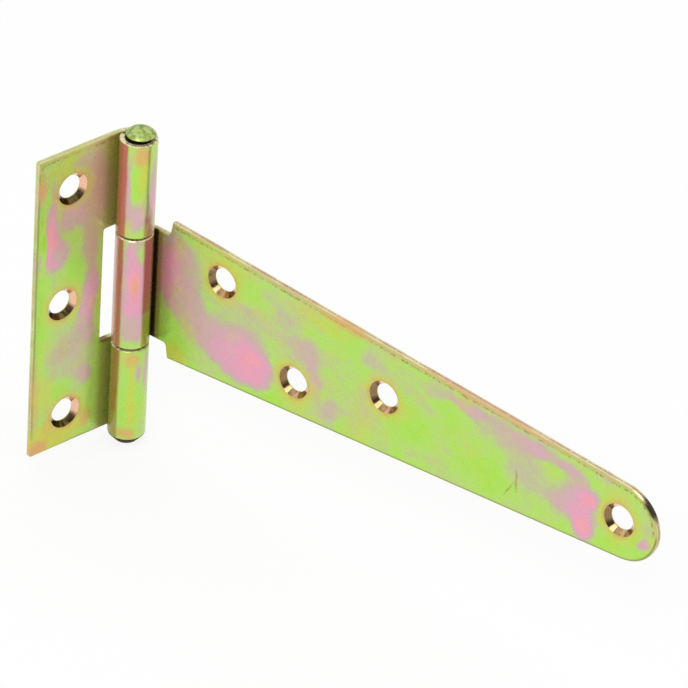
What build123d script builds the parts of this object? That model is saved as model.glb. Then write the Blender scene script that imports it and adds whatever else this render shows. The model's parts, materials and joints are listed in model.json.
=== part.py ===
from build123d import *
import math
import os

# Light tee hinge of rolled sheet steel, in millimetres.
# Z runs up the pin. The butt plate's flat back lies in the XZ plane and faces +Y,
# its knuckles stand out at the front (-Y), and the origin is the middle of that back.
# The strap is modelled swung forward, as the hinge stands half open.

# Sheet and pin
sheet = 1.5
pin_diameter = 6.0
pin_clearance = 0.05
seam_gap = 0.3

# Each roll starts wide and tightens round the pin, so the barrel stands proud of the leaf
roll_rise = 1.2
lead_angle = 45.0

# Butt plate, with distances along X counted from the pin's axis or the outer edge
plate_height = 83.0
plate_reach = 25.7
slot_height = 31.8
slot_reach = 5.9
top_hole_margin = 10.7
bottom_hole_margin = 9.1
end_hole_inset = 10.2
middle_hole_inset = 8.3

# Strap, with distances along its length counted from the pin's axis
strap_length = 150.0
shoulder_reach = 7.0
shoulder_lean = 0.7
shoulder_step = 4.0
tip_radius = 10.2
knuckle_gap = 0.55
fold_angle = 79.0
high_hole = (23.2, 9.8)
low_hole = (45.7, -7.7)
middle_hole = (71.9, 0.8)
tip_hole_margin = 10.7

# Countersunk screw holes
hole_diameter = 6.0
countersink_diameter = 8.4
countersink_angle = 90.0

# Rounding left by shearing and tumbling, and the bevel along the other edges
corner_round = 0.6
notch_round = 0.7
rim_round = 0.45
edge_bevel = 0.3

# Pin ends: a dome peened a little off centre above, a tapered head below
dome_diameter = 7.2
dome_lift = 1.0
dome_rise = 1.7
dome_neck = 4.8
dome_shift = (0.33, -0.3)
foot_inset = 0.1
foot_height = 2.2
foot_end_diameter = 5.2
foot_bevel = 0.4

# Worked out from the sizes above
bore_radius = pin_diameter / 2 + pin_clearance
knuckle_radius = bore_radius + sheet
tongue_height = slot_height - 2 * knuckle_gap
half_plate = plate_height / 2
half_tongue = tongue_height / 2
half_root = half_tongue + shoulder_step
front_offset = bore_radius + roll_rise
back_offset = knuckle_radius + roll_rise
past = knuckle_radius + back_offset

# The wide start of the roll: how much larger its radius is, and its centre
lead_turn = math.radians(lead_angle)
lead_extra = roll_rise / (1 - math.cos(lead_turn))
lead_centre = (lead_extra * math.sin(lead_turn), -lead_extra * math.cos(lead_turn))

# The end of the roll: how far round it comes, so that its outer corner stops just short of the leaf's face
end_turn = math.asin((front_offset - seam_gap) / knuckle_radius)
end_angle = math.degrees(end_turn)

# The pin's axis and, for each leaf, a plane across the roll and a plane on its front face
pin_axis = Vector(plate_reach / 2, -back_offset, 0)
fold = math.radians(fold_angle)
strap_way = Vector(math.cos(fold), -math.sin(fold), 0)
strap_back = Vector(math.sin(fold), math.cos(fold), 0)
plate_section = Plane(pin_axis, x_dir=(-1, 0, 0), z_dir=(0, 0, -1))
plate_front = Plane(pin_axis + Vector(0, front_offset, 0), x_dir=(1, 0, 0), z_dir=(0, -1, 0))
strap_section = Plane(pin_axis, x_dir=strap_way, z_dir=(0, 0, 1))
strap_front = Plane(pin_axis + strap_back * front_offset, x_dir=strap_way, z_dir=strap_back * -1)


def rolled_sheet(plane, reach):
    """Section of a leaf: flat sheet and a roll that tightens round the pin until its end nearly meets the leaf."""
    lead_x = lead_centre[0]
    with BuildSketch(plane) as section:
        with BuildLine():
            Polyline((lead_x, front_offset), (reach, front_offset), (reach, back_offset), (lead_x, back_offset))
            for radius in (bore_radius, knuckle_radius):
                CenterArc(lead_centre, radius + lead_extra, 90, lead_angle)
                CenterArc((0, 0), radius, 90 + lead_angle, 270 - lead_angle + end_angle)
            PolarLine((bore_radius * math.cos(end_turn), bore_radius * math.sin(end_turn)), sheet, end_angle)
        make_face()
    return section.sketch


def outer_rims(part):
    """Round edges at the ends of the knuckles, on the outside of the roll."""
    arcs = part.edges().filter_by(GeomType.CIRCLE).filter_by(Plane.XY)
    return arcs.filter_by(lambda arc: abs(arc.radius - knuckle_radius) < sheet / 2)


def front_outline(part, front, reach):
    """Front edges of a leaf's outline that lie further than reach from the pin's axis."""
    faces = part.faces().filter_by(front).filter_by(lambda flat: flat.normal_at().dot(front.z_dir) > 0)
    outline = faces.sort_by(SortBy.AREA)[-1].edges()
    return outline.filter_by(lambda edge: abs(front.to_local_coords(edge.center()).X) > reach)


# Butt plate: two knuckles, a slot between them for the strap's tongue, three screw holes
with BuildPart() as butt_plate:
    extrude(rolled_sheet(plate_section, plate_reach), amount=half_plate, both=True)
    with BuildSketch(plate_front) as slot:
        with Locations((-slot_reach, 0)):
            Rectangle(slot_reach + past, slot_height, align=(Align.MIN, Align.CENTER))
        fillet(slot.vertices().group_by(Axis.X)[0], notch_round)
    extrude(amount=past, both=True, mode=Mode.SUBTRACT)
    outer_corners = butt_plate.edges().filter_by(Axis.Y).group_by(Axis.X)[0]
    fillet(outer_corners, corner_round)
    fillet(outer_rims(butt_plate.part), rim_round)
    chamfer(front_outline(butt_plate.part, plate_front, slot_reach + notch_round), edge_bevel)
    with Locations(plate_front):
        end_x = end_hole_inset - plate_reach
        middle_x = middle_hole_inset - plate_reach
        top_z = half_plate - top_hole_margin
        bottom_z = bottom_hole_margin - half_plate
        with Locations((end_x, top_z), (middle_x, (top_z + bottom_z) / 2), (end_x, bottom_z)):
            CounterSinkHole(hole_diameter / 2, countersink_diameter / 2, 2 * sheet, countersink_angle)
butt_plate.part.label = "butt_plate"

# Strap: a tapered blade with a round tip, leaning shoulders and a tongue rolled into one knuckle
shoulder_corner = shoulder_reach + shoulder_lean
tip_centre = strap_length - tip_radius
tip_run = tip_centre - shoulder_corner
taper = math.atan2(half_root, tip_run) - math.asin(tip_radius / math.hypot(half_root, tip_run))
tip_x = tip_centre + tip_radius * math.sin(taper)
tip_z = tip_radius * math.cos(taper)
with BuildPart() as strap:
    extrude(rolled_sheet(strap_section, strap_length), amount=half_root, both=True)
    with BuildSketch(strap_front) as blank:
        with BuildLine():
            tip = ThreePointArc((tip_x, tip_z), (strap_length, 0), (tip_x, -tip_z))
            lower = Polyline(tip @ 1, (shoulder_corner, -half_root), (shoulder_reach, -half_tongue))
            Polyline(lower @ 1, (shoulder_reach, half_tongue), (shoulder_corner, half_root), tip @ 0)
        make_face()
        fillet(blank.vertices().sort_by(lambda corner: abs(corner.Y))[-2:], corner_round)
        with Locations((-past, 0)):
            Rectangle(past + shoulder_reach, tongue_height, align=(Align.MIN, Align.CENTER))
        notches = blank.vertices().filter_by_position(Axis.X, 0, shoulder_reach + shoulder_lean / 4)
        fillet(notches, notch_round)
    extrude(amount=past, both=True, mode=Mode.INTERSECT)
    chamfer(outer_rims(strap.part), edge_bevel)
    chamfer(front_outline(strap.part, strap_front, knuckle_radius), edge_bevel)
    with Locations(strap_front):
        with Locations(high_hole, low_hole, middle_hole, (strap_length - tip_hole_margin, 0)):
            CounterSinkHole(hole_diameter / 2, countersink_diameter / 2, 2 * sheet, countersink_angle)
strap.part.label = "strap"

# Pin: a plain shank through all three knuckles, headed below and peened over above
pin_radius = pin_diameter / 2
dome_radius = dome_diameter / 2
foot_radius = knuckle_radius - foot_inset
dome_base = half_plate + dome_lift
dome_axis = pin_axis + Vector(*dome_shift, 0)
with BuildPart() as hinge_pin:
    with BuildSketch(Plane(pin_axis, x_dir=(1, 0, 0), z_dir=(0, -1, 0))):
        with BuildLine():
            Polyline(
                (0, -half_plate - foot_height),
                (foot_end_diameter / 2, -half_plate - foot_height),
                (foot_radius, -half_plate),
                (pin_radius, -half_plate),
                (pin_radius, half_plate),
                (0, half_plate),
                close=True,
            )
        make_face()
    revolve(axis=Axis(pin_axis, (0, 0, 1)))
    with BuildSketch(Plane(dome_axis, x_dir=(1, 0, 0), z_dir=(0, -1, 0))):
        with BuildLine():
            neck = Polyline((0, half_plate), (dome_neck / 2, half_plate), (dome_radius, dome_base))
            dome = TangentArc((0, dome_base + dome_rise), neck @ 1, tangent=(1, 0))
            Line(dome @ 0, neck @ 0)
        make_face()
    revolve(axis=Axis(dome_axis, (0, 0, 1)))
    chamfer(hinge_pin.edges().group_by(Axis.Z)[0], foot_bevel)
hinge_pin.part.label = "hinge_pin"

os.makedirs("parts", exist_ok=True)
for piece in (butt_plate, strap, hinge_pin):
    export_step(piece.part, f"parts/{piece.part.label}.step")
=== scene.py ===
# %% [markdown]
# # A light tee hinge with a yellow-passivated zinc finish
# The hinge has three pieces: a butt plate that is screwed to the post, a long strap that is screwed to
# the gate, and a pin through their rolled knuckles. Their shapes come from the CAD model and are right as
# they are, so this lesson leaves the meshes alone. It is about the finish, which is what makes this hinge
# look like this hinge.

import json
import math

import bmesh
import bpy
from mathutils import Matrix, Vector


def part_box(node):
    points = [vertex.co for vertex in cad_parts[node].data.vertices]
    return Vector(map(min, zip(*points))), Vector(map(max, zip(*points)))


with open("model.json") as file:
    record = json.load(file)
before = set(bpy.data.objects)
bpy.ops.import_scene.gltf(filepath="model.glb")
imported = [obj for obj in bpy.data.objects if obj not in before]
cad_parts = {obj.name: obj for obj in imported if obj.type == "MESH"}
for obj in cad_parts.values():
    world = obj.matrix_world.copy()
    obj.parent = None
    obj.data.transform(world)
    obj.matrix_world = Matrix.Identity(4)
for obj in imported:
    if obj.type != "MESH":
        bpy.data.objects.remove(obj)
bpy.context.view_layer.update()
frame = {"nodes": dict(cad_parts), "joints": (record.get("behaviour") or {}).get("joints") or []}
pin_axis = Vector(frame["joints"][0]["pos_m"])
print("pieces:", sorted(frame["nodes"]), "pin axis:", [round(part, 5) for part in pin_axis])

# %% [markdown]
# A finish is a tree of nodes, and most of its nodes are of a few kinds. One short call for each kind
# keeps the rest of the lesson readable: every call adds a node, and each input gets either a plain value
# or a link from an earlier node. Colours are easiest to judge as they look on a screen, while shaders
# calculate with linear values, so one call turns the first into the second.

# %% Short calls for the nodes of a finish


def screen_colour(red, green, blue):
    """The linear colour for a colour as it looks on a screen, with parts from 0 to 255."""
    parts = []
    for part in (red, green, blue):
        share = part / 255
        parts.append(share / 12.92 if share <= 0.04045 else ((share + 0.055) / 1.055) ** 2.4)
    return (*parts, 1.0)


def add_node(tree, kind, inputs, **options):
    """Adds a node, sets its options, and gives each named input a value or a link."""
    made = tree.nodes.new(kind)
    for option, value in options.items():
        setattr(made, option, value)
    for name, value in inputs.items():
        if isinstance(value, bpy.types.NodeSocket):
            tree.links.new(value, made.inputs[name])
        else:
            made.inputs[name].default_value = value
    return made


def calculate(tree, operation, first, second=0.0, clamp=False):
    """One step of arithmetic."""
    options = {"operation": operation, "use_clamp": clamp}
    return add_node(tree, "ShaderNodeMath", {0: first, 1: second}, **options).outputs[0]


def times(tree, first, second):
    """Two values multiplied."""
    return calculate(tree, "MULTIPLY", first, second)


def calculate_place(tree, operation, first, second=(0, 0, 0)):
    """One step of arithmetic with places. A length or a dot product gives a number, the rest a place."""
    made = add_node(tree, "ShaderNodeVectorMath", {0: first, 1: second}, operation=operation)
    return made.outputs["Value" if operation in ("LENGTH", "DOT_PRODUCT") else "Vector"]


def join(tree, x, y, z=0.0):
    """A place from its three parts."""
    return add_node(tree, "ShaderNodeCombineXYZ", {"X": x, "Y": y, "Z": z}).outputs[0]


def split(tree, place):
    """The three parts of a place, by the names X, Y and Z."""
    return add_node(tree, "ShaderNodeSeparateXYZ", {0: place}).outputs


def fade(tree, value, start, end):
    """Goes smoothly from 0, where the value is start, to 1, where it is end."""
    inputs = {"Value": value, "From Min": start, "From Max": end}
    return add_node(tree, "ShaderNodeMapRange", inputs, interpolation_type="SMOOTHSTEP").outputs["Result"]


def cloud(tree, place, size, seed, detail=3.0):
    """Soft noise with clouds about size millimetres across; another seed gives other clouds."""
    inputs = {"Vector": place, "W": seed, "Scale": 1 / size, "Detail": detail, "Roughness": 0.55}
    return add_node(tree, "ShaderNodeTexNoise", inputs, noise_dimensions="4D")


def around(tree, noise, spread):
    """Noise as a value around 0, about spread either way."""
    return times(tree, calculate(tree, "SUBTRACT", noise, 0.5), 4 * spread)


def drift(tree, place, size, spread, seed, detail=3.0):
    """Soft noise around 0, about spread either way."""
    return around(tree, cloud(tree, place, size, seed, detail).outputs["Fac"], spread)


def lay_over(tree, amount, under, over):
    """Lays one colour over another, by an amount from 0 to 1."""
    return add_node(tree, "ShaderNodeMix", {0: amount, 6: under, 7: over}, data_type="RGBA").outputs[2]


print("lime on screen, as linear values:", [round(part, 3) for part in screen_colour(173, 225, 88)])

# %% [markdown]
# The film of passivation follows the metal, so every pattern is placed in millimetres on the leaf itself:
# along the leaf from the pin, up the pin, and in depth from the pin's axis to the leaf's back. A Mapping
# node of the texture kind turns and centres the object's own coordinates in one step. The strap stands
# folded forward in its own mesh, so its mapping is turned by that fold. The back of a leaf is shifted far
# off in the pattern, so that it doesn't show the front's marks. Round the barrel the place is the length
# along the curve instead, counted from the line that faces the viewer.

# %% Places on a leaf and round the barrel
millimetre = 0.001
sheet = 1.5
bore_radius = 3.05
roll_rise = 1.2
front_depth = bore_radius + roll_rise
back_depth = front_depth + sheet
knuckle_radius = bore_radius + sheet
strap_fold = math.radians(79.0)
barrel_line = math.radians(230.0)
back_shift = 20.0


def turned_place(tree, angle):
    """The object's coordinates in millimetres from the pin's axis, with X turned about the pin."""
    own = add_node(tree, "ShaderNodeTexCoord", {}).outputs["Object"]
    inputs = {"Vector": own, "Location": pin_axis, "Rotation": (0, 0, angle), "Scale": (millimetre,) * 3}
    return add_node(tree, "ShaderNodeMapping", inputs, vector_type="TEXTURE").outputs[0]


def leaf_place(tree, angle):
    """Place on a leaf as (along, up, 0), its depth, and its distance from the pin's axis.

    On the back of the leaf the place's third part is large, so that patterns there differ from the front's.
    """
    parts = split(tree, turned_place(tree, angle))
    on_back = fade(tree, parts["Y"], back_depth - 0.25, back_depth - 0.05)
    flat = join(tree, parts["X"], parts["Z"], times(tree, on_back, back_shift))
    radius = calculate_place(tree, "LENGTH", join(tree, parts["X"], parts["Y"]))
    return flat, parts["Y"], radius


def front_only(tree, depth):
    """1 on the front face of a leaf and 0 behind it."""
    return fade(tree, depth, front_depth + 0.4, front_depth + 0.1)


def barrel_place(tree):
    """Place on the barrel as (length round the curve, up, 0)."""
    parts = split(tree, turned_place(tree, barrel_line))
    angle = calculate(tree, "ARCTAN2", parts["Y"], parts["X"])
    return join(tree, times(tree, angle, knuckle_radius), parts["Z"])


print("leaf front and back, from the pin's axis:", front_depth, back_depth, "mm")

# %% [markdown]
# Passivated zinc shows the colours of a thin film. Where the film is thin it is yellow-green, and as it
# thickens the colour passes through grey to mauve, pink and salmon. So the finish isn't painted colour by
# colour: one field gives the film's thickness, and one colour ramp turns thickness into colour.
# Neighbouring colours are then always the ones that meet on the real metal.

# %% The film's colours, from thin to thick
film_colours = (
    (0.00, screen_colour(164, 190, 56)),
    (0.14, screen_colour(172, 226, 80)),
    (0.30, screen_colour(181, 223, 106)),
    (0.42, screen_colour(189, 210, 130)),
    (0.52, screen_colour(196, 194, 152)),
    (0.62, screen_colour(205, 180, 166)),
    (0.72, screen_colour(216, 172, 181)),
    (0.82, screen_colour(230, 164, 190)),
    (0.91, screen_colour(241, 162, 178)),
    (1.00, screen_colour(244, 176, 150)),
)
film_straw = screen_colour(206, 208, 90)
straw_size = 9.0
straw_amount = 0.55


def film_ramp(tree, thickness):
    """The colour of the film at a thickness from 0 to 1."""
    ramp = add_node(tree, "ShaderNodeValToRGB", {"Fac": thickness})
    stops = ramp.color_ramp.elements
    while len(stops) < len(film_colours):
        stops.new(0.5)
    for stop, (position, colour) in zip(stops, film_colours):
        stop.position = position
        stop.color = colour
    return ramp.outputs["Color"]


def yellow_clouds(tree, colour, place, seed):
    """The film's colour with the straw yellow that drifts over parts of it."""
    yellow = fade(tree, cloud(tree, place, straw_size, seed, 4.0).outputs["Fac"], 0.5, 0.74)
    return lay_over(tree, times(tree, yellow, straw_amount), colour, film_straw)


print("film colours:", len(film_colours))

# %% [markdown]
# The film thickens in patches where the bath ran off or dried slowly. Each patch is an oval with a wide
# soft rim, placed where the photograph shows it. Ovals alone would look drawn, so the place is
# first pushed about by two sizes of noise, which frays every rim, and clouds of two sizes vary the
# thickness between the patches. The clouds are stretched the way that the bath drained off each piece.

# %% A film with patches
film_base = 0.33
broad_size = 12.0
broad_spread = 0.17
middling_size = 4.0
middling_spread = 0.14
mottle_size = 1.8
mottle_spread = 0.07
streak_size = 0.7
streak_spread = 0.035
streak_stretch = 4.0
ragged_size = 5.0
ragged_spread = 0.22
fray_size = 9.0
fine_fray_size = 2.4
fine_fray_share = 0.35
rim_outside = 1.7
rim_inside = 0.4


def stretched_place(tree, place, along, up):
    """The place stretched, so that patterns grow along and up by these factors."""
    return calculate_place(tree, "MULTIPLY", place, (1 / along, 1 / up, 1))


def pushed_place(tree, place, size, amount, seed):
    """The place pushed about by noise, up to about half of amount, in millimetres."""
    colour = cloud(tree, place, size, seed).outputs["Color"]
    centred = calculate_place(tree, "SUBTRACT", colour, (0.5, 0.5, 0.5))
    inputs = {0: centred, 1: (amount, amount, 0), 2: place}
    return add_node(tree, "ShaderNodeVectorMath", inputs, operation="MULTIPLY_ADD").outputs[0]


def oval(tree, place, ragged, centre, half_lengths, tilt):
    """1 in the middle of an oval patch and 0 beyond its soft rim, which ragged moves in and out."""
    inputs = {
        "Vector": place,
        "Location": (*centre, 0),
        "Rotation": (0, 0, math.radians(tilt)),
        "Scale": (*half_lengths, 1),
    }
    inside = add_node(tree, "ShaderNodeMapping", inputs, vector_type="TEXTURE").outputs[0]
    distance = calculate_place(tree, "LENGTH", inside)
    return fade(tree, calculate(tree, "ADD", distance, ragged), rim_outside, rim_inside)


def patchy_film(tree, place, stretch, patches, fraying, seed):
    """Thickness of the film: clouds, with patches (centre, half lengths, tilt, thickness) laid in.

    Fraying is how far the patches' rims are pushed about, in millimetres.
    """
    drained = stretched_place(tree, place, *stretch)
    broad = drift(tree, drained, broad_size, broad_spread, seed)
    middling = drift(tree, drained, middling_size, middling_spread, seed + 1, 4.0)
    thickness = calculate(tree, "ADD", calculate(tree, "ADD", broad, middling), film_base)
    bent = pushed_place(tree, place, fray_size, fraying, seed + 2)
    frayed = pushed_place(tree, bent, fine_fray_size, fine_fray_share * fraying, seed + 3)
    ragged = drift(tree, drained, ragged_size, ragged_spread, seed + 4, 4.0)
    for centre, half_lengths, tilt, patch_thickness in patches:
        amount = oval(tree, frayed, ragged, centre, half_lengths, tilt)
        layers = {0: amount, 2: thickness, 3: patch_thickness}
        thickness = add_node(tree, "ShaderNodeMix", layers, data_type="FLOAT").outputs[0]
    upright = stretched_place(tree, place, stretch[0], streak_stretch * stretch[1])
    streaks = drift(tree, upright, streak_size, streak_spread, seed + 5, 4.0)
    mottle = drift(tree, drained, mottle_size, mottle_spread, seed + 6, 5.0)
    return calculate(tree, "ADD", thickness, calculate(tree, "ADD", mottle, streaks), clamp=True)


print("a patch is a centre, two half lengths, a tilt and a thickness")

# %% [markdown]
# Some marks don't belong to the film's own row of colours: straw yellow and orange where drops dried,
# brown in the corners, grey scuffs from handling. They are laid over the film as stains, ovals like the
# patches but each with a colour and an amount of its own. Their rims are frayed by smaller noise, because
# they are smaller.

# %% Stains
stain_straw = screen_colour(210, 208, 74)
stain_orange = screen_colour(224, 170, 108)
stain_salmon = screen_colour(228, 164, 132)
stain_brown = screen_colour(204, 166, 124)
stain_tan = screen_colour(196, 172, 132)
stain_grey = screen_colour(188, 190, 186)
stain_fray_size = 3.0
stain_fraying = 1.6
stain_ragged_size = 2.0
stain_ragged_spread = 0.25


def stained(tree, colour, place, stains, seed):
    """The colour with stains (centre, half lengths, tilt, colour, amount) laid over it."""
    frayed = pushed_place(tree, place, stain_fray_size, stain_fraying, seed)
    ragged = drift(tree, place, stain_ragged_size, stain_ragged_spread, seed + 1, 4.0)
    for centre, half_lengths, tilt, stain_colour, amount in stains:
        spot = oval(tree, frayed, ragged, centre, half_lengths, tilt)
        colour = lay_over(tree, times(tree, spot, amount), colour, stain_colour)
    return colour


print("stain straw:", [round(part, 3) for part in stain_straw[:3]])

# %% [markdown]
# Screw holes hold the bath longest, which leaves a yellow glow and a thin orange ring round each mouth.
# The countersinks took less of the film and turned copper and tan. Each also has a speckled dark side of
# painted shade and a paler side further round of painted highlight, standing for what the mirror-like
# walls reflect. Everything is found from the place alone: the distance to the nearest hole, and the way
# from its centre.

# %% Screw holes
ring_yellow = screen_colour(212, 202, 88)
ring_orange = screen_colour(204, 150, 88)
countersink_tan = screen_colour(222, 184, 142)
countersink_copper = screen_colour(162, 118, 78)
# Painted shade and painted highlight for the two sides of each countersink.
countersink_painted_shade = screen_colour(56, 58, 24)
countersink_painted_highlight = screen_colour(240, 192, 164)
countersink_radius = 4.2
glow_reach = 7.4
glow_amount = 0.6
ring_reach = 5.3
ring_amount = 0.4


def nearest_hole(tree, place, holes):
    """Distance to the nearest hole's centre and, inside a hole, the way there from its centre."""
    nearest = None
    way = None
    for along, up in holes:
        offset = calculate_place(tree, "SUBTRACT", place, (along, up, 0))
        distance = calculate_place(tree, "LENGTH", offset)
        inside = calculate(tree, "LESS_THAN", distance, countersink_radius + 0.2)
        inputs = {0: offset, "Scale": inside}
        kept = add_node(tree, "ShaderNodeVectorMath", inputs, operation="SCALE").outputs[0]
        if nearest is None:
            nearest, way = distance, kept
        else:
            nearest = calculate(tree, "MINIMUM", nearest, distance)
            way = calculate_place(tree, "ADD", way, kept)
    return nearest, way


def on_side(tree, way, angle, start, end):
    """1 on the side of a hole that lies at an angle from its centre, fading out round it."""
    side = (math.cos(math.radians(angle)), math.sin(math.radians(angle)), 0)
    return fade(tree, calculate_place(tree, "DOT_PRODUCT", way, side), start, end)


def hole_colours(tree, colour, place, holes, shade_angle, darkness, highlight_angle, seed):
    """The colour with glows round the holes, and the countersinks' copper with a dark side of painted shade
    and a pale side of painted highlight.

    Darkness is how far the dark specks fill the side of painted shade, from 0 to 1. Also gives the walls of
    the countersinks, as 1 on them and 0 elsewhere.
    """
    distance, way = nearest_hole(tree, place, holes)
    ragged = calculate(tree, "ADD", distance, drift(tree, place, 2.6, 0.7, seed + 1))
    glow = times(tree, fade(tree, ragged, glow_reach, countersink_radius + 0.4), glow_amount)
    colour = lay_over(tree, glow, colour, ring_yellow)
    ring = times(tree, fade(tree, ragged, ring_reach, countersink_radius), ring_amount)
    colour = lay_over(tree, ring, colour, ring_orange)
    speckle = cloud(tree, place, 1.1, seed).outputs["Fac"]
    copper = lay_over(tree, fade(tree, speckle, 0.3, 0.65), countersink_copper, countersink_tan)
    # The pale side is a painted highlight and the dark side painted shade, standing for what the walls
    # mirror.
    copper = lay_over(tree, on_side(tree, way, highlight_angle, 1.6, 3.2), copper, countersink_painted_highlight)
    wander = calculate(tree, "ADD", around(tree, speckle, 0.5), darkness, clamp=True)
    painted_shade_side = times(tree, on_side(tree, way, shade_angle, 1.0, 2.6), wander)
    copper = lay_over(tree, painted_shade_side, copper, countersink_painted_shade)
    wall = fade(tree, distance, countersink_radius + 0.05, countersink_radius - 0.1)
    return lay_over(tree, wall, colour, copper), wall


print("countersink radius:", countersink_radius, "mm")

# %% [markdown]
# A sheared edge has two parts: a bright cut part and a duller torn part, with a broken dark line between
# them. On the front face the shear also draws the metal down in a narrow band along the upper edges, with
# a paler, tan film and a broken brown line on its inner side; the pale band is also a painted highlight
# where these edges face the light from above. The lower edges have a thin dark rim of painted shade
# instead. Both follow the leaf's outline, so each leaf gets a distance from its own outline.

# %% Sheared edges
edge_tan = screen_colour(206, 178, 138)
edge_cream = screen_colour(232, 224, 182)
edge_tear_and_shade = screen_colour(116, 92, 52)
band_tan_and_highlight = screen_colour(200, 186, 120)
band_brown = screen_colour(136, 102, 52)
band_width = 1.2
band_amount = 0.8
dots_amount = 0.75
lower_shade_amount = 0.7
tear_amount = 0.7
torn_depth = front_depth + 0.6


def edge_colours(tree, colour, place, depth, outline, upper, bareness, seed):
    """The colour with tan sheared edges, and the drawn-down band on the front along the outline, which is
    partly a painted highlight.

    Upper is 1 along the edges that have the band, and 0 along the lower ones, which have a thin dark rim of
    painted shade.
    Bareness is how much of the film the shear took off the edges, from 0 to 1.
    """
    dots = cloud(tree, place, 0.8, seed).outputs["Fac"]
    patches = cloud(tree, place, 6.0, seed + 1).outputs["Fac"]
    on_front = front_only(tree, depth)
    lower = times(tree, calculate(tree, "SUBTRACT", 1.0, upper), on_front)
    upper = times(tree, upper, on_front)
    # The tan band is partly a painted highlight on the edges that face the light from above.
    band = times(tree, fade(tree, outline, band_width + 0.3, band_width - 0.3), upper)
    band = times(tree, band, fade(tree, patches, 0.25, 0.5))
    colour = lay_over(tree, times(tree, band, band_amount), colour, band_tan_and_highlight)
    inner_side = calculate(tree, "ADD", around(tree, patches, 0.2), band_width)
    off_band = calculate(tree, "ABSOLUTE", calculate(tree, "SUBTRACT", outline, inner_side))
    dotted = times(tree, fade(tree, off_band, 0.42, 0.05), fade(tree, dots, 0.44, 0.6))
    dotted = times(tree, dotted, upper)
    colour = lay_over(tree, times(tree, dotted, dots_amount), colour, band_brown)
    # Painted shade: a thin dark rim along the lower edges.
    rim = times(tree, fade(tree, outline, 0.9, 0.3), lower)
    colour = lay_over(tree, times(tree, rim, lower_shade_amount), colour, edge_tear_and_shade)
    cut = lay_over(tree, fade(tree, patches, 0.35, 0.65), edge_tan, edge_cream)
    wander = calculate(tree, "ADD", around(tree, dots, 0.1), torn_depth)
    off_line = calculate(tree, "ABSOLUTE", calculate(tree, "SUBTRACT", depth, wander))
    tear = times(tree, fade(tree, off_line, 0.24, 0.06), fade(tree, dots, 0.34, 0.5))
    metal = lay_over(tree, times(tree, tear, tear_amount), cut, edge_tear_and_shade)
    behind_front = fade(tree, depth, front_depth + 0.02, front_depth + 0.25)
    before_back = fade(tree, depth, back_depth - 0.02, back_depth - 0.12)
    bare = times(tree, times(tree, behind_front, before_back), bareness)
    return lay_over(tree, bare, colour, metal)


print("band along the edges:", band_width, "mm")

# %% [markdown]
# Rolled sheet isn't a mirror: it has a fine grain from the rolls and tiny pits from pickling, which blur
# what it reflects, and the film scatters part of the light by itself. So the shader is only partly metal,
# less so on the plate, which would otherwise mirror the strap. Its roughness varies in clouds, and it has
# two sizes of bump: a shallow waviness of a few millimetres and a grain of a third of a millimetre.

# %% Metal under the film
leaf_roughness = 0.26
sheen_size = 5.0
sheen_spread = 0.06
wall_gloss = 0.13
plate_metal = 0.42
strap_metal = 0.66
leaf_waves = 0.0002
wave_size = 3.0
grain_size = 0.35
grain_depth = 0.00003
bump_strength = 0.3


def new_finish(name):
    """An empty material and its node tree."""
    material = bpy.data.materials.new(name)
    material.use_nodes = True
    material.node_tree.nodes.clear()
    return material, material.node_tree


def zinc_metal(tree, colour, place, roughness, metal, wave_depth, seed):
    """Satin metal with a grain, finished with a colour; wave_depth is in metres."""
    rough = calculate(tree, "ADD", drift(tree, place, sheen_size, sheen_spread, seed, 4.0), roughness)
    grain = cloud(tree, place, grain_size, seed + 1, 2.0).outputs["Fac"]
    waves = cloud(tree, place, wave_size, seed + 2, 2.0).outputs["Fac"]
    bump = {"Height": waves, "Strength": bump_strength, "Distance": wave_depth}
    wavy = add_node(tree, "ShaderNodeBump", bump).outputs[0]
    bump = {"Height": grain, "Normal": wavy, "Strength": bump_strength, "Distance": grain_depth}
    normal = add_node(tree, "ShaderNodeBump", bump).outputs[0]
    inputs = {"Base Color": colour, "Metallic": metal, "Roughness": rough, "Normal": normal}
    shader = add_node(tree, "ShaderNodeBsdfPrincipled", inputs)
    output = tree.nodes.new("ShaderNodeOutputMaterial")
    tree.links.new(shader.outputs[0], output.inputs["Surface"])


def leaf_metal(tree, colour, place, walls, metal, seed):
    """A leaf's metal, with the walls of its countersinks all metal and glossier."""
    roughness = calculate(tree, "SUBTRACT", leaf_roughness, times(tree, walls, wall_gloss))
    zinc_metal(tree, colour, place, roughness, calculate(tree, "MAXIMUM", walls, metal), leaf_waves, seed)


print("metal share of the leaves:", plate_metal, strap_metal)

# %% [markdown]
# The knuckles are the same sheet, but rolling stretched the zinc and the bath drained down them, so they
# have their own patches. Their upright bands of red, brown and olive are painted reflection: they stand for
# what each flank mirrors. The bands run on round the hidden flanks, because the leaf beside each knuckle
# mirrors them. In the corner itself the leaf has painted shade, as a brown or olive stain and, on the
# strap, a dark line. The cut ends of the knuckles are bare like the other edges.

# %% Knuckles
# Painted reflection and shade: the knuckles' flanks show what they mirror in red, crimson, pink, brown and
# olive, and corners and crevices are painted dark as shade; the olive also marks real scuffs on the strap.
red_painted_reflection = screen_colour(206, 92, 104)
crimson_painted_reflection = screen_colour(178, 92, 92)
brown_painted_reflection_and_shade = screen_colour(170, 116, 62)
olive_scuffs_and_painted_shade = screen_colour(156, 138, 58)
pink_painted_reflection = screen_colour(224, 160, 170)
dark_painted_corner_shade = screen_colour(112, 62, 34)
dark_painted_shade = screen_colour(44, 34, 12)
end_grey = screen_colour(158, 146, 96)
end_reach = 4.9


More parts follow.
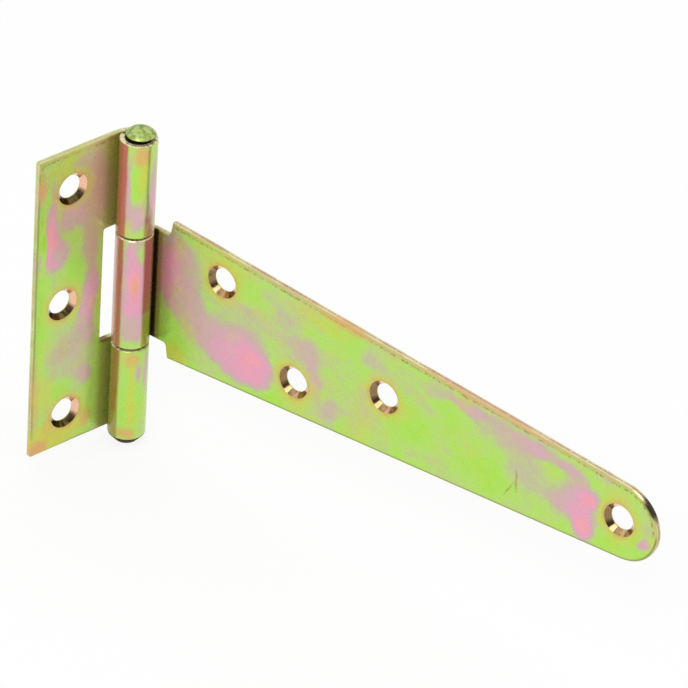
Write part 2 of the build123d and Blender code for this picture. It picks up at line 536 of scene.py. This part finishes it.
def barrel_colours(tree, colour, radius, patches, stains, reflection_bands, seed):
    """The leaf's colour with the barrel's own film near the pin's axis, and upright bands of painted
    reflection.

    A band is (from, to, lowest, highest, colour, amount), in millimetres round the curve and up.
    """
    place = barrel_place(tree)
    drained = stretched_place(tree, place, 0.5, 1.6)
    film = film_ramp(tree, patchy_film(tree, place, (1.0, 2.5), patches, 1.6, seed))
    film = yellow_clouds(tree, film, drained, seed + 7)
    film = stained(tree, film, place, stains, seed + 9)
    wavering = pushed_place(tree, place, 5.0, 0.6, seed + 5)
    parts = split(tree, wavering)
    # Each band is painted reflection on the barrel: what the flank mirrors, laid over the film.
    for first, last, lowest, highest, reflection_colour, amount in reflection_bands:
        band = fade(tree, parts["X"], first - 0.35, first + 0.35)
        band = times(tree, band, fade(tree, parts["X"], last + 0.35, last - 0.35))
        band = times(tree, band, fade(tree, parts["Y"], lowest - 1, lowest + 1))
        band = times(tree, band, fade(tree, parts["Y"], highest + 1, highest - 1))
        film = lay_over(tree, times(tree, band, amount), film, reflection_colour)
    on_barrel = fade(tree, radius, knuckle_radius + 0.5, knuckle_radius + 0.15)
    return lay_over(tree, on_barrel, colour, film)


def crevice_painted_shade(tree, colour, along, depth, beside, reach, shade_colour, amount, shade_line_amount):
    """The leaf's colour with painted shade on its front beside its knuckle: a stain, and a dark line in the
    corner itself.

    Along is counted from the pin's axis, and beside is 1 at the heights where the leaf has a knuckle.
    """
    beside = times(tree, beside, front_only(tree, depth))
    beside = times(tree, beside, fade(tree, along, 0.5, 2.0))
    # Painted shade: a stain beside the knuckle, and a dark line in the corner itself.
    corner = times(tree, fade(tree, along, reach, knuckle_radius), amount)
    colour = lay_over(tree, times(tree, corner, beside), colour, shade_colour)
    line = times(tree, fade(tree, along, knuckle_radius - 0.3, knuckle_radius - 1.2), shade_line_amount)
    return lay_over(tree, times(tree, line, beside), colour, dark_painted_shade)


def cut_end_colours(tree, colour, up, radius, heights, seed):
    """The colour with bare metal on the knuckles' cut ends, which lie at these heights."""
    nearest = None
    for height in heights:
        distance = calculate(tree, "ABSOLUTE", calculate(tree, "SUBTRACT", up, height))
        nearest = distance if nearest is None else calculate(tree, "MINIMUM", nearest, distance)
    dots = cloud(tree, barrel_place(tree), 0.9, seed).outputs["Fac"]
    bare = lay_over(tree, fade(tree, dots, 0.35, 0.55), end_grey, edge_cream)
    end = times(tree, fade(tree, nearest, 0.25, 0.05), fade(tree, radius, end_reach + 0.4, end_reach))
    return lay_over(tree, end, colour, bare)


print("corner red:", [round(part, 3) for part in red_painted_reflection[:3]])

# %% [markdown]
# The butt plate's marks are upright, as if it hung that way in the bath: a bright pink drop near the
# outer edge, dusty mauve beside the knuckles, and lime between them. Its lower corner dried straw yellow
# and orange. Each list below describes a piece of the photograph: patches are film of some
# thickness, and stains lie over it.

# %% Butt plate finish
plate_half_height = 41.5
plate_reach = 25.7
slot_half_height = 15.9
plate_holes = ((-15.5, 30.8), (-17.4, -0.8), (-15.5, -32.4))
plate_patches = (
    ((-21.0, 28.5), (0.9, 5.0), 0, 0.66),
    ((-21.4, 20.5), (1.8, 6.0), 0, 0.82),
    ((-20.8, 13.6), (3.8, 3.6), 0, 0.86),
    ((-21.4, 18.2), (1.0, 4.2), 0, 0.96),
    ((-18.8, 14.2), (2.0, 2.2), 0, 0.64),
    ((-24.0, 20.0), (0.8, 8.0), 0, 0.12),
    ((-9.2, 30.0), (4.6, 10.5), 0, 0.64),
    ((-13.0, 38.0), (3.0, 1.8), 20, 0.6),
    ((-12.3, 23.5), (4.0, 3.4), 0, 0.7),
    ((-15.8, 25.4), (2.6, 2.2), 0, 0.8),
    ((-17.0, 21.8), (2.2, 2.4), 0, 0.66),
    ((-9.8, 11.0), (2.4, 8.0), 0, 0.6),
    ((-9.0, 1.0), (1.9, 5.0), 0, 0.72),
    ((-10.0, -4.0), (2.1, 7.0), 0, 0.77),
    ((-11.5, -12.0), (3.2, 4.0), 20, 0.65),
    ((-16.5, -14.0), (5.4, 3.2), 22, 0.56),
    ((-13.0, -18.5), (5.0, 3.4), 10, 0.52),
    ((-10.2, -23.0), (2.2, 2.6), 0, 0.64),
    ((-23.4, -4.0), (1.8, 13.0), 0, 0.14),
    ((-14.4, 7.0), (3.2, 3.4), 0, 0.2),
    ((-18.0, -25.0), (3.0, 3.0), 0, 0.18),
)
plate_stains = (
    ((-24.3, 33.5), (1.2, 3.4), 0, stain_salmon, 0.8),
    ((-18.0, 38.0), (6.0, 1.8), 20, stain_straw, 0.5),
    ((-8.4, 29.0), (4.2, 11.0), 0, stain_brown, 0.5),
    ((-9.6, 12.0), (1.8, 7.0), 0, stain_tan, 0.4),
    ((-16.5, -14.0), (4.0, 2.4), 22, stain_tan, 0.3),
    ((-24.6, -26.0), (1.0, 9.0), 0, stain_orange, 0.5),
    ((-22.0, -25.0), (2.6, 5.0), 0, stain_straw, 0.5),
    ((-19.0, -37.6), (8.5, 4.0), 8, stain_straw, 0.9),
    ((-20.3, -34.8), (1.6, 2.4), 20, stain_orange, 0.5),
    ((-23.8, -39.8), (2.6, 2.2), 0, stain_orange, 0.9),
    ((-9.6, -36.3), (1.6, 2.4), 0, stain_orange, 0.7),
    # Painted shade: a dark spot where the slot's edge meets the lower knuckle.
    ((-4.4, -16.0), (1.4, 0.7), 0, dark_painted_corner_shade, 0.9),
)
plate_barrel_patches = (
    ((-1.7, 28.5), (0.9, 9.0), 0, 0.68),
    ((0.2, 31.0), (1.3, 8.0), 0, 0.16),
    ((0.8, 22.0), (2.2, 3.8), 0, 0.7),
    ((4.7, 27.0), (1.4, 9.5), 0, 0.72),
    ((-1.6, -24.0), (0.8, 8.0), 0, 0.42),
    ((0.0, -29.0), (2.2, 10.0), 0, 0.22),
    ((2.4, -22.2), (0.8, 2.2), 0, 0.64),
    ((4.8, -22.0), (1.0, 6.0), 0, 0.6),
)
plate_barrel_stains = (
    ((1.3, 38.6), (1.8, 2.8), 0, stain_orange, 0.9),
    ((1.6, 33.5), (1.0, 4.0), 0, stain_straw, 0.7),
    ((0.6, -18.4), (1.6, 1.8), 0, stain_orange, 0.75),
    ((0.7, -26.0), (0.7, 8.0), 0, stain_straw, 0.6),
    ((0.9, -34.0), (1.0, 4.0), 0, stain_straw, 0.6),
    ((-0.4, -39.6), (2.2, 1.4), 0, stain_orange, 0.8),
    # Painted reflection: a red spot on the upper knuckle beside the joint.
    ((4.2, 17.4), (0.9, 1.4), 0, red_painted_reflection, 0.7),
)
# Bands of painted reflection on the plate's knuckles; the narrow dark one is painted shade of the crevice.
plate_flank_reflections = (
    (-9.5, -4.0, 15.0, 42.0, brown_painted_reflection_and_shade, 0.9),
    (-4.4, -2.4, 15.0, 42.0, red_painted_reflection, 0.85),
    (2.65, 3.15, 20.0, 42.0, dark_painted_shade, 0.55),
    (2.2, 3.9, 15.0, 22.0, crimson_painted_reflection, 0.6),
    (-9.5, -2.5, -42.0, -15.0, olive_scuffs_and_painted_shade, 0.85),
    (-4.8, -3.0, -34.0, -15.0, brown_painted_reflection_and_shade, 0.7),
)
plate_ends = (plate_half_height, slot_half_height, -slot_half_height, -plate_half_height)

plate_finish, tree = new_finish("plate_zinc_film")
flat, depth, radius = leaf_place(tree, 0.0)
parts = split(tree, flat)
height = calculate(tree, "ABSOLUTE", parts["Y"])
from_ends = calculate(tree, "SUBTRACT", plate_half_height, height)
plate_outline = calculate(tree, "MINIMUM", from_ends, calculate(tree, "ADD", parts["X"], plate_reach))
# The top edge gets the band with its painted highlight, the other edges mostly the painted shade.
top_band = fade(tree, parts["Y"], plate_half_height - 5, plate_half_height - 2)
upper = calculate(tree, "ADD", times(tree, top_band, 0.8), 0.2)
beside = fade(tree, height, slot_half_height - 1, slot_half_height + 1)
from_pin = times(tree, parts["X"], -1.0)
colour = film_ramp(tree, patchy_film(tree, flat, (1.0, 2.4), plate_patches, 3.6, 3.1))
colour = yellow_clouds(tree, colour, flat, 9.0)
colour = edge_colours(tree, colour, flat, depth, plate_outline, upper, 0.55, 11.0)
colour = stained(tree, colour, flat, plate_stains, 10.0)
# Painted shade and the barrel's reflection, in olive, beside the plate's knuckles.
colour = crevice_painted_shade(tree, colour, from_pin, depth, beside, 7.2, olive_scuffs_and_painted_shade, 0.6, 0.0)
colour, walls = hole_colours(tree, colour, flat, plate_holes, -110, 0.85, 20, 14.0)
colour = barrel_colours(
    tree, colour, radius, plate_barrel_patches, plate_barrel_stains, plate_flank_reflections, 17.0
)
colour = cut_end_colours(tree, colour, parts["Y"], radius, plate_ends, 19.0)
leaf_metal(tree, colour, flat, walls, plate_metal, 21.0)
frame["nodes"]["butt_plate"].material_slots[0].material = plate_finish
print("plate patches:", len(plate_patches), "stains:", len(plate_stains))

# %% [markdown]
# On the strap the liquid ran along the leaf: pink beside the knuckle, a broad pool below the first hole,
# a thin mauve streak along the upper half, and another pool beside the hole at the tip, with lime between
# them. The outline is a taper that runs into a round tip, so the distance from it is worked out for each
# of the two and chosen by place.

# %% Strap finish
strap_length = 150.0
tip_radius = 10.2
tip_centre = strap_length - tip_radius
knuckle_gap = 0.55
tongue_half_height = slot_half_height - knuckle_gap
shoulder_step = 4.0
shoulder_corner = 7.7
root_half_height = tongue_half_height + shoulder_step
tip_run = tip_centre - shoulder_corner
taper = math.atan2(root_half_height, tip_run) - math.asin(tip_radius / math.hypot(root_half_height, tip_run))
strap_holes = ((23.2, 9.8), (45.7, -7.7), (71.9, 0.8), (139.3, 0.0))
strap_patches = (
    ((14.0, 8.0), (3.4, 7.0), 0, 0.54),
    ((8.4, 8.6), (4.4, 7.6), 0, 0.79),
    ((9.0, 1.5), (4.4, 5.6), 10, 0.78),
    ((12.5, -1.0), (5.2, 4.8), -30, 0.71),
    ((18.0, -5.5), (6.4, 4.6), -20, 0.63),
    ((30.0, -2.0), (5.0, 3.2), 0, 0.62),
    ((34.0, 4.0), (9.0, 3.0), -5, 0.5),
    ((24.5, -7.5), (8.8, 5.6), -5, 0.7),
    ((25.5, -10.6), (5.6, 3.6), 0, 0.76),
    ((30.5, -8.0), (7.6, 4.8), 0, 0.8),
    ((33.5, -11.2), (4.8, 2.8), 0, 0.86),
    ((33.5, -7.0), (3.6, 2.8), 0, 0.89),
    ((43.0, 9.0), (4.5, 2.4), 0, 0.5),
    ((48.5, 2.5), (4.8, 3.6), -10, 0.6),
    ((51.6, -3.0), (1.8, 4.2), 5, 0.65),
    ((52.5, -12.0), (3.0, 2.4), 0, 0.44),
    ((56.8, -10.5), (2.6, 3.8), -20, 0.58),
    ((68.5, 9.0), (3.4, 2.2), 0, 0.52),
    ((86.0, 9.6), (3.6, 2.2), 0, 0.5),
    ((97.0, 9.6), (6.8, 2.0), -2, 0.68),
    ((107.0, 6.5), (6.4, 3.2), -10, 0.58),
    ((115.5, 7.8), (5.6, 2.0), -6, 0.7),
    ((125.0, 6.4), (4.2, 2.0), -8, 0.66),
    ((112.5, -0.5), (6.0, 4.6), 0, 0.52),
    ((127.5, 2.5), (3.4, 3.0), 0, 0.66),
    ((124.5, -2.0), (4.8, 4.0), 10, 0.66),
    ((129.0, -3.0), (3.8, 6.0), 0, 0.8),
    ((130.5, 1.2), (2.6, 2.4), 0, 0.9),
    ((129.8, -6.6), (2.6, 3.0), 0, 0.95),
    ((146.6, -3.6), (1.3, 2.0), -20, 0.72),
    ((147.0, 1.5), (1.8, 2.4), 0, 0.46),
    ((102.0, -6.0), (7.0, 5.0), 0, 0.16),
    ((80.0, -3.0), (6.4, 5.2), 0, 0.18),
    ((138.0, -7.6), (4.4, 2.2), 8, 0.18),
)
strap_stains = (
    ((9.5, -16.8), (3.6, 2.4), 0, stain_straw, 0.7),
    ((24.0, 15.4), (9.0, 2.2), -4, stain_straw, 0.35),
    ((52.0, 12.8), (8.0, 2.2), -4, stain_straw, 0.5),
    ((60.0, 14.8), (6.6, 1.2), -4, stain_orange, 0.65),
    ((66.0, -8.0), (4.0, 6.0), 0, stain_straw, 0.25),
    ((102.0, 12.4), (18.0, 0.8), -4, stain_salmon, 0.35),
    ((139.0, 6.6), (3.6, 1.8), 0, stain_straw, 0.3),
    ((6.4, 14.4), (0.5, 1.2), 30, stain_grey, 0.7),
    ((7.4, 13.6), (0.4, 1.3), -20, stain_grey, 0.7),
    ((8.2, 14.6), (0.4, 0.9), 10, stain_grey, 0.6),
    ((110.6, -3.6), (0.25, 2.6), 5, olive_scuffs_and_painted_shade, 0.6),
    ((108.7, -6.6), (0.22, 2.2), -25, olive_scuffs_and_painted_shade, 0.6),
    # Painted shade: the upper edge of the tip painted dark, as a dark reflection.
    ((147.2, 7.2), (4.4, 0.9), -48, dark_painted_shade, 0.95),
)
strap_barrel_patches = (
    ((-1.8, 1.0), (0.8, 13.0), 0, 0.5),
    ((0.7, 1.0), (3.0, 13.0), 0, 0.76),
    ((2.1, 11.4), (0.9, 2.4), 0, 0.38),
    ((-0.7, 11.2), (0.7, 3.4), 0, 0.78),
    ((0.2, -4.2), (2.2, 2.8), 0, 0.84),
    ((0.6, 2.8), (1.3, 5.2), 0, 0.94),
    ((0.2, -9.5), (3.0, 3.8), 0, 0.62),
    ((1.9, -6.5), (0.5, 6.0), 0, 0.76),
    ((0.0, -14.4), (3.0, 1.4), 0, 0.34),
)
strap_barrel_stains = (
    ((0.6, 2.6), (0.8, 3.0), 0, stain_salmon, 0.5),
)
# Bands of painted reflection on the strap's knuckle.
strap_flank_reflections = (
    (-9.0, -4.2, -16.0, 16.0, pink_painted_reflection, 0.85),
    (-4.2, -2.6, -16.0, 16.0, red_painted_reflection, 0.8),
    (2.7, 10.0, -6.0, 16.0, crimson_painted_reflection, 0.9),
    (2.7, 10.0, -16.0, -6.0, olive_scuffs_and_painted_shade, 0.85),
    (5.9, 10.0, -16.0, 16.0, olive_scuffs_and_painted_shade, 0.5),
)
strap_ends = (tongue_half_height, -tongue_half_height)

strap_finish, tree = new_finish("strap_zinc_film")
flat, depth, radius = leaf_place(tree, -strap_fold)
parts = split(tree, flat)
past_tip = calculate(tree, "SUBTRACT", parts["X"], tip_centre)
widening = times(tree, past_tip, math.sin(taper))
height = calculate(tree, "ABSOLUTE", parts["Y"])
across = times(tree, height, math.cos(taper))
from_taper = calculate(tree, "SUBTRACT", tip_radius, calculate(tree, "ADD", widening, across))
to_tip = calculate_place(tree, "LENGTH", join(tree, past_tip, height))
from_tip = calculate(tree, "SUBTRACT", tip_radius, to_tip)
at_tip = calculate(tree, "GREATER_THAN", past_tip, 0.0)
layers = {0: at_tip, 2: from_taper, 3: from_tip}
strap_outline = add_node(tree, "ShaderNodeMix", layers, data_type="FLOAT").outputs[0]
# The upper half's edges get the band with its painted highlight, the lower half's the painted shade.
upper = fade(tree, parts["Y"], -1.0, 1.0)
beside = fade(tree, height, tongue_half_height + 1, tongue_half_height - 0.5)
colour = film_ramp(tree, patchy_film(tree, flat, (1.3, 1.0), strap_patches, 4.4, 5.7))
colour = yellow_clouds(tree, colour, flat, 29.0)
colour = edge_colours(tree, colour, flat, depth, strap_outline, upper, 1.0, 31.0)
colour = stained(tree, colour, flat, strap_stains, 32.0)
# Painted shade beside the strap's knuckle: a brown stain and a dark line in the corner.
colour = crevice_painted_shade(tree, colour, parts["X"], depth, beside, 5.6, brown_painted_reflection_and_shade, 0.55, 0.95)
colour, walls = hole_colours(tree, colour, flat, strap_holes, 200, 0.55, 100, 34.0)
colour = barrel_colours(
    tree, colour, radius, strap_barrel_patches, strap_barrel_stains, strap_flank_reflections, 37.0
)
colour = cut_end_colours(tree, colour, parts["Y"], radius, strap_ends, 39.0)
leaf_metal(tree, colour, flat, walls, strap_metal, 41.0)
frame["nodes"]["strap"].material_slots[0].material = strap_finish
print("strap patches:", len(strap_patches), "stains:", len(strap_stains))

# %% [markdown]
# The pin was peened over with a hammer, so its dome is dented and its film is worn to a mottled green.
# The neck under the dome and the head below are painted dark as shade, and made rougher.

# %% Pin finish
pin_pale = screen_colour(188, 202, 126)
pin_green = screen_colour(130, 160, 70)
pin_painted_shade = screen_colour(62, 46, 26)
dome_base = plate_half_height + 1.0
pin_metal = 0.9
pin_dents = 0.0006

pin_finish, tree = new_finish("pin_zinc_worn")
pin_place = turned_place(tree, 0.0)
worn = cloud(tree, pin_place, 1.1, 51.0, 4.0).outputs["Fac"]
colour = lay_over(tree, fade(tree, worn, 0.38, 0.6), pin_green, pin_pale)
height = split(tree, pin_place)["Z"]
# Painted shade below the dome's rim, on the neck and the head below.
under_dome_shade = fade(tree, height, dome_base + 0.12, dome_base - 0.05)
colour = lay_over(tree, under_dome_shade, colour, pin_painted_shade)
pin_roughness = calculate(tree, "ADD", times(tree, under_dome_shade, 0.4), 0.3)
zinc_metal(tree, colour, pin_place, pin_roughness, pin_metal, pin_dents, 54.0)
frame["nodes"]["hinge_pin"].material_slots[0].material = pin_finish
print("pin colours:", [round(part, 3) for part in pin_pale[:3]])

# %% [markdown]
# The photograph has a bare white ground. A pale floor gives that, and it takes the hinge's soft shadow.
# The camera and the metal's reflections see most of it as plain white, by way of the Light Path node,
# while the rest of it is an ordinary matt floor.

# %% Floor
floor_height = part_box("hinge_pin")[0][2]
floor_half = 3.0
white_share = 0.85

floor_mesh = bpy.data.meshes.new("studio_floor")
floor_shape = bmesh.new()
bmesh.ops.create_grid(floor_shape, x_segments=1, y_segments=1, size=floor_half)
floor_shape.to_mesh(floor_mesh)
floor_shape.free()
floor = bpy.data.objects.new("studio_floor", floor_mesh)
floor.location = (0, 0, floor_height)
bpy.context.collection.objects.link(floor)

floor_finish, tree = new_finish("studio_floor_white")
rays = add_node(tree, "ShaderNodeLightPath", {}).outputs
seen = calculate(tree, "MAXIMUM", rays["Is Camera Ray"], rays["Is Glossy Ray"])
seen = calculate(tree, "MAXIMUM", seen, rays["Is Transmission Ray"])
matt = add_node(tree, "ShaderNodeBsdfDiffuse", {"Color": (0.9, 0.9, 0.9, 1)}).outputs[0]
plain_white = add_node(tree, "ShaderNodeEmission", {"Color": (1, 1, 1, 1), "Strength": 1.0}).outputs[0]
share = times(tree, seen, white_share)
floor_shader = add_node(tree, "ShaderNodeMixShader", {0: share, 1: matt, 2: plain_white}).outputs[0]
floor_output = tree.nodes.new("ShaderNodeOutputMaterial")
tree.links.new(floor_shader, floor_output.inputs["Surface"])
floor_mesh.materials.append(floor_finish)
print("floor at", round(floor_height, 4), "m")

# %% [markdown]
# The light is a white tent: bright above, a little dimmer towards the horizon, with a dim opening on the
# viewer's side where a photographer stands. The flat leaves mirror the floor and so don't show the
# opening, but the countersinks, rounded rims and dome do, and the contrast makes them read as metal. One
# large soft lamp above and to the left of the viewer gives the rims their pale lines.

# %% Light
viewer_side = Vector((-0.53, -0.63, 0.56))
horizon_level = 0.6
opening_depth = 0.85

tent = bpy.data.worlds.new("white_tent")
tent.use_nodes = True
sky = tent.node_tree
sky.nodes.clear()
outwards = add_node(sky, "ShaderNodeTexCoord", {}).outputs["Generated"]
upwards = split(sky, outwards)["Z"]
rise = times(sky, fade(sky, upwards, 0.0, 0.6), 1 - horizon_level)
level = calculate(sky, "ADD", rise, horizon_level)
towards = calculate_place(sky, "DOT_PRODUCT", outwards, viewer_side)
opening = times(sky, fade(sky, towards, 0.86, 0.96), opening_depth)
level = times(sky, level, calculate(sky, "SUBTRACT", 1.0, opening))
background = add_node(sky, "ShaderNodeBackground", {"Color": level, "Strength": 1.0}).outputs[0]
sky_output = sky.nodes.new("ShaderNodeOutputWorld")
sky.links.new(background, sky_output.inputs["Surface"])
bpy.context.scene.world = tent

lamp_data = bpy.data.lights.new("soft_lamp", "AREA")
lamp_data.shape = "DISK"
lamp_data.size = 0.8
lamp_data.energy = 8.0
lamp = bpy.data.objects.new("soft_lamp", lamp_data)
lamp.location = (-0.9, -0.7, 1.1)
lamp.rotation_euler = (-lamp.location).to_track_quat("-Z", "Y").to_euler()
bpy.context.collection.objects.link(lamp)
print("lamp at", [round(part, 2) for part in lamp.location])

# %% [markdown]
# The camera stands where the photograph was taken from, as far as a fit can tell. Its height, side, roll
# and lens were worked out by fitting the hinge's corners and hole rims to the photograph, with a distance
# of one and a half metres taken as given. It looks down a long lens from above and to the left, a little
# rolled.

# %% Camera
view_height = math.radians(34.841)
view_side = math.radians(42.318)
view_roll = math.radians(3.824)
pin_in_view = Vector((-49.478, -13.678, 1500.0)) * millimetre
lens_length = 335.606

side_turn = Matrix.Rotation(view_side, 3, "Z")
look_down = Matrix(
    (
        (1, 0, 0),
        (0, -math.sin(view_height), -math.cos(view_height)),
        (0, math.cos(view_height), -math.sin(view_height)),
    )
)
right, down, ahead = Matrix.Rotation(view_roll, 3, "Z") @ look_down @ side_turn
eye = pin_axis - (right * pin_in_view.x + down * pin_in_view.y + ahead * pin_in_view.z)
camera_data = bpy.data.cameras.new("photo_camera")
camera_data.lens = lens_length
camera_data.sensor_width = 36.0
camera = bpy.data.objects.new("photo_camera", camera_data)
camera.matrix_world = Matrix.Translation(eye) @ Matrix((right, -down, -ahead)).transposed().to_4x4()
bpy.context.collection.objects.link(camera)
bpy.context.scene.camera = camera
bpy.context.scene.view_settings.view_transform = "Standard"
print("camera at", [round(part, 3) for part in eye])
